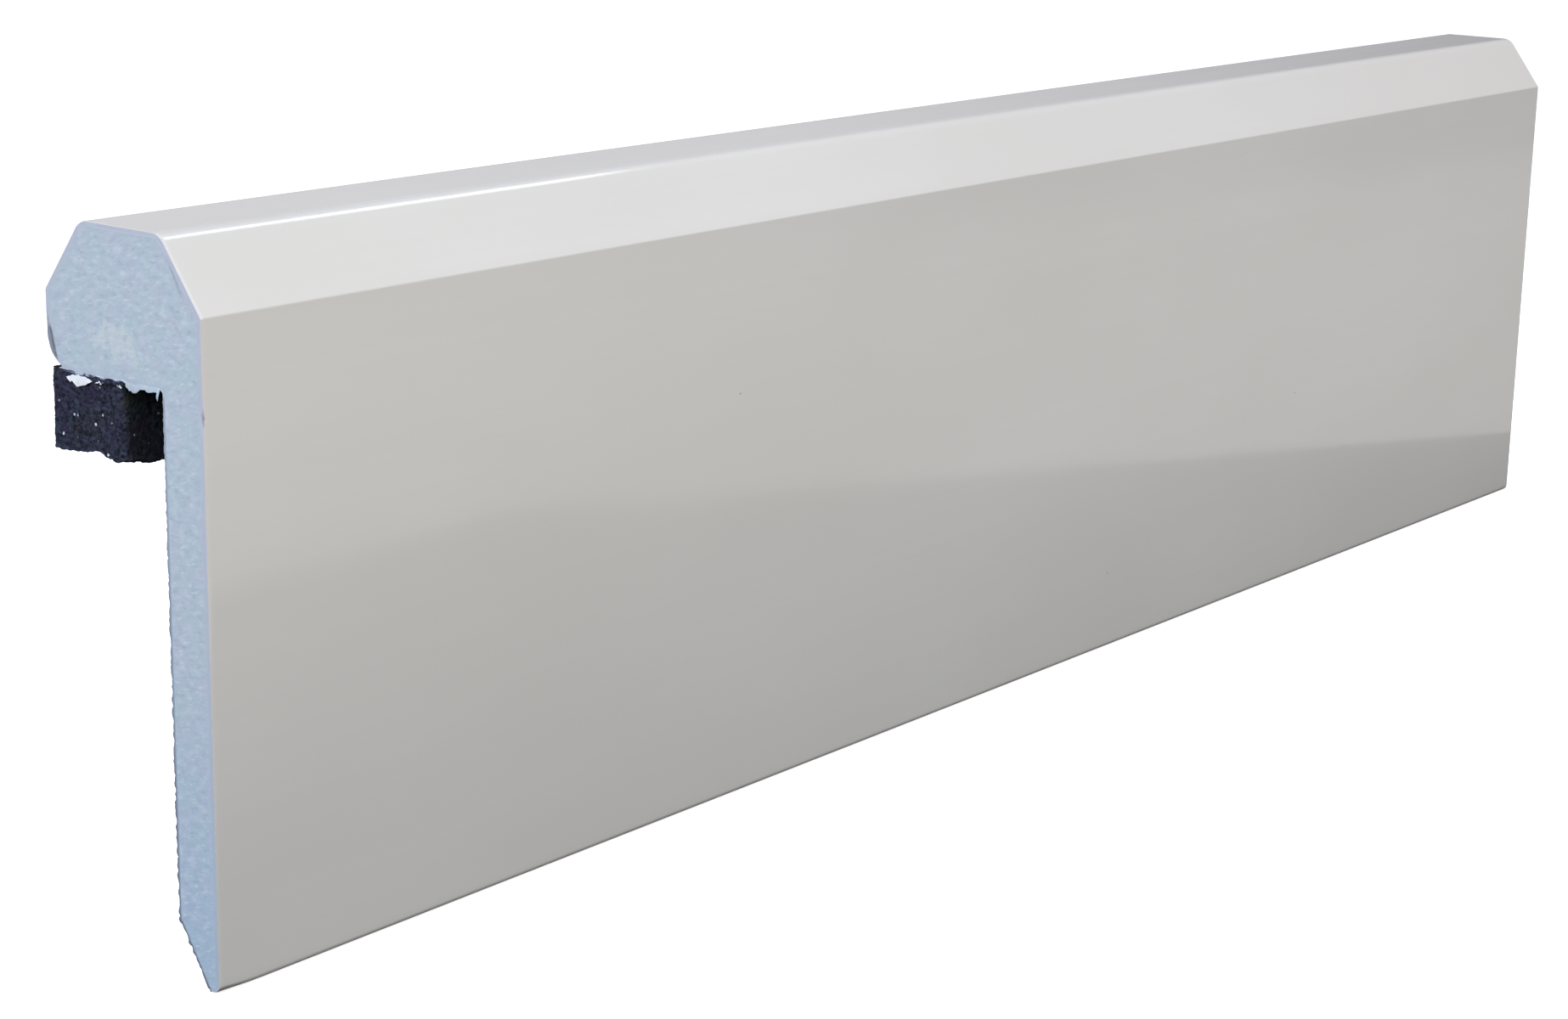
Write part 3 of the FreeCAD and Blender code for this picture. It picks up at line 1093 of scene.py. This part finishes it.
class Room(Nodes):
    """The world's nodes, which give the room its brightness in each direction.
    Heights are sines of the elevation, and masks are 0 to 1."""

    def __init__(self, world):
        world.use_nodes = True
        super().__init__(world.node_tree)
        self.tree.nodes.clear()
        self.direction = self.add("TexCoord").outputs["Generated"]
        split = self.add("SeparateXYZ", {0: self.direction})
        self.along, self.away, self.height = split.outputs

    def band(self, low, high, soft):
        """1 between two heights."""
        rise = self.ramp(self.height, low - soft, low + soft)
        fall = self.ramp(self.height, high - soft, high + soft, 1.0, 0.0)
        return self.times(rise, fall)

    def over_edge(self, x_fall, y_fall):
        """How far a direction is above a straight edge that lies below the eye, in front."""
        return self.vector_math("DOT_PRODUCT", self.direction, (x_fall, -y_fall, 1.0), "Value")

    def side(self, azimuth, elevation, edge, core):
        """1 towards a direction, fading out between the cosines core and edge."""
        aim = toward(azimuth, elevation)
        return self.ramp(self.vector_math("DOT_PRODUCT", self.direction, aim, "Value"), edge, core)

    def tinted_sum(self, parts):
        """Adds up (mask, colour) parts into one colour."""
        total = (0.0, 0.0, 0.0)
        for mask, colour in parts:
            part = self.add("VectorMath", {0: colour, "Scale": mask}, operation="SCALE")
            total = self.vector_math("ADD", total, part.outputs[0])
        return total


FLOOR_NEAR_EDGE = (0.118, 0.290)  # falls along X and towards the front, as slopes
FLOOR_FAR_EDGE = (0.0483, 0.1953)
NEAR_EDGE_BLUR = 0.1993  # straight ahead; it is less
NEAR_EDGE_SHARPENS = 0.237  # by this much along X,
LEAST_BLUR = 0.004  # down to this
FAR_EDGE_BLUR = 0.005


def front_floor(room):
    """Masks: the light floor between two straight edges, the wall behind it, and all else."""
    sharper = room.times(room.along, NEAR_EDGE_SHARPENS)
    blur = room.math("MAXIMUM", room.math("SUBTRACT", NEAR_EDGE_BLUR, sharper), LEAST_BLUR)
    over_near = room.ramp(room.over_edge(*FLOOR_NEAR_EDGE), room.times(blur, -1.0), blur)
    over_far = room.ramp(room.over_edge(*FLOOR_FAR_EDGE), -FAR_EDGE_BLUR, FAR_EDGE_BLUR)
    below_wall_top = room.ramp(room.height, -0.06, -0.02, 1.0, 0.0)
    in_front = room.ramp(room.away, -0.3, 0.0, 1.0, 0.0)
    floor = room.times(room.times(over_near, room.rest(over_far)), in_front)
    wall = room.times(room.times(over_far, below_wall_top), in_front)
    return floor, wall, room.rest(in_front)


def room_light(room):
    """The room seen in the object: bright above, dim at eye level, with a light floor."""
    floor, wall, not_in_front = front_floor(room)
    floor_behind = room.times(room.band(-0.215, -0.130, soft=0.018), not_in_front)
    eye_level = room.band(-0.04, 0.30, soft=0.02)
    middle = room.band(0.30, 0.70, soft=0.05)
    above = room.ramp(room.height, 0.65, 0.75)
    above_floor = room.ramp(room.height, -0.135, -0.095)
    front = room.side(-60, 0, edge=-0.10, core=0.30)
    back = room.side(150, 0, edge=-0.10, core=0.30)
    window = room.side(58, 8, edge=0.80, core=0.97)
    low_glow = room.side(-62, -2, edge=0.90, core=0.985)
    return room.tinted_sum([
        (floor, (0.712, 0.691, 0.681)),
        (wall, (0.355, 0.363, 0.392)),
        (floor_behind, (0.718, 0.679, 0.647)),
        (eye_level, (0.192, 0.182, 0.165)),
        (room.times(middle, front), (0.522, 0.419, 0.349)),
        (room.times(middle, back), (1.00, 1.20, 1.55)),
        (above, (0.373, 0.421, 0.603)),
        (room.times(above_floor, window), (0.338, 0.316, 0.306)),
        (low_glow, (0.528, 0.386, 0.228)),
    ])


def make_world():
    """White to the camera. The object is lit by a soft room with a dark mat below."""
    world = bpy.data.worlds.new("studio")
    bpy.context.scene.world = world
    room = Room(world)
    lit = room.add("Background", {"Color": room_light(room), "Strength": 1.0})
    white = room.add("Background", {"Color": grey(1.0)})
    seen = room.add("LightPath").outputs["Is Camera Ray"]
    mixed = room.add("MixShader", {0: seen, 1: lit.outputs[0], 2: white.outputs[0]})
    room.add("OutputWorld", {0: mixed.outputs[0]})


def level_card(name, corners, z):
    mesh = bpy.data.meshes.new(name)
    mesh.from_pydata([(x, y, z) for x, y in corners], [], [tuple(range(len(corners)))])
    return new_object(name, mesh)


def make_mat():
    """A dark mat just under the floor, seen only as the darker part of reflections.
    Its front right corner is cut off, which slants the edge seen in the front face."""
    left, right = NEAR - 0.30, NEAR + 0.49
    front, back = FRONT - 0.165, FRONT + 0.21
    cut_x, cut_y = NEAR + 0.231, FRONT - 0.022
    corners = ((left, front), (cut_x, front), (right, cut_y), (right, back), (left, back))
    mat = level_card("dark_mat", corners, BOTTOM - MAT_GAP)
    s = Shader("mat")
    colour = s.mix(s.grain(0.05, 2.0), grey(0.02), grey(0.04))
    mat.data.materials.append(s.finish(colour, 1.0))
    mat.visible_camera = False


def make_floor():
    half = FLOOR_SIZE / 2
    corners = ((-half, -half), (half, -half), (half, half), (-half, half))
    floor = level_card("floor", corners, BOTTOM)
    s = Shader("pale_floor")
    s.feed(s.surface, {"Emission Color": grey(1.0), "Emission Strength": FLOOR_GLOW})
    colour = s.mix(s.grain(0.5, 2.0), grey(0.80), grey(0.84))
    floor.data.materials.append(s.finish(colour, 0.9))
    floor.visible_glossy = False
    floor.visible_diffuse = False


def make_stage():
    make_world()
    make_floor()
    make_mat()
    for box in SOFTBOXES:
        softbox(*box)
    make_camera()
    scene = bpy.context.scene
    scene.view_settings.view_transform = "Standard"
    scene.view_settings.look = "None"


# ---------- assembly

def make_object():
    make_core(core_material())
    make_cap(cap_material())
    make_rear_skin(rear_material())
    make_tape(tape_material())
    foam = make_foam(foam_material())
    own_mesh(foam)


make_object()
make_stage()
